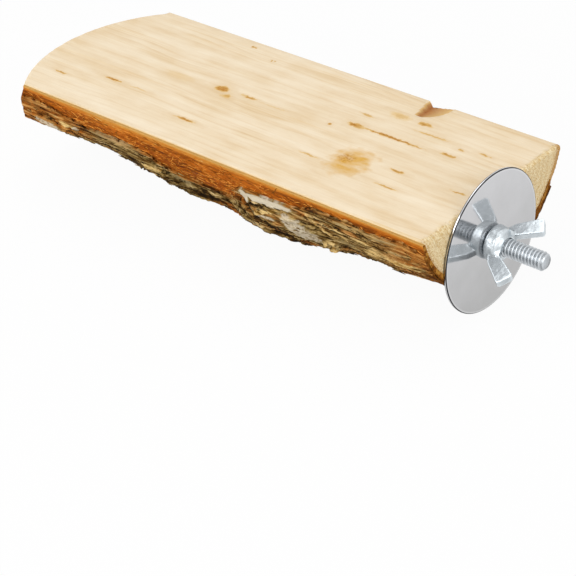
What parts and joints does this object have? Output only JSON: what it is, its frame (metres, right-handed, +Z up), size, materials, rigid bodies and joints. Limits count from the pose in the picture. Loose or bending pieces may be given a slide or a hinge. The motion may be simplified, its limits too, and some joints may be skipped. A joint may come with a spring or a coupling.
{
  "type": "bird perch",
  "caption": "Flat half-log bird perch with bark underneath, clamped to a cage wall by a stud in its sawn end with a broad washer and a wing nut.",
  "frame": {"origin": "on the stud's axis, in the plane of the sawn end that bears on the cage wall", "axes": "+X along the stud towards its free tip, +Z up out of the flat perching face, +Y to the perch's left as seen from its far end"},
  "size_m": [0.218, 0.0754, 0.05],
  "materials": {
    "sawn_pine": "bare sanded softwood",
    "inner_bark": "fibrous orange-brown bark",
    "outer_bark": "ridged grey-brown bark",
    "zinc_steel": "bright zinc plated steel",
    "polished_steel": "polished stainless steel",
    "zinc_casting": "bright zinc plated casting"
  },
  "bodies": {
    "perch": {"perch_board": "sawn_pine", "inner_bark": "inner_bark", "outer_bark": "outer_bark", "hanger_bolt": "zinc_steel"},
    "washer": {"clamp_washer": "polished_steel"},
    "nut": {"wing_nut": "zinc_casting"}
  },
  "joints": [
    {"name": "washer_slide", "type": "slide", "parent": "perch", "child": "washer", "axis": [1, 0, 0], "range_m": [0, 0.015]},
    {"name": "nut_turn", "type": "hinge", "parent": "washer", "child": "nut", "pos_m": [0, 0, 0], "axis": [1, 0, 0], "range_deg": [0, 4251.97]}
  ],
  "couplings": [
    {"joint": "nut_turn", "follows": "washer_slide", "rad_per_m": 4947.4}
  ]
}
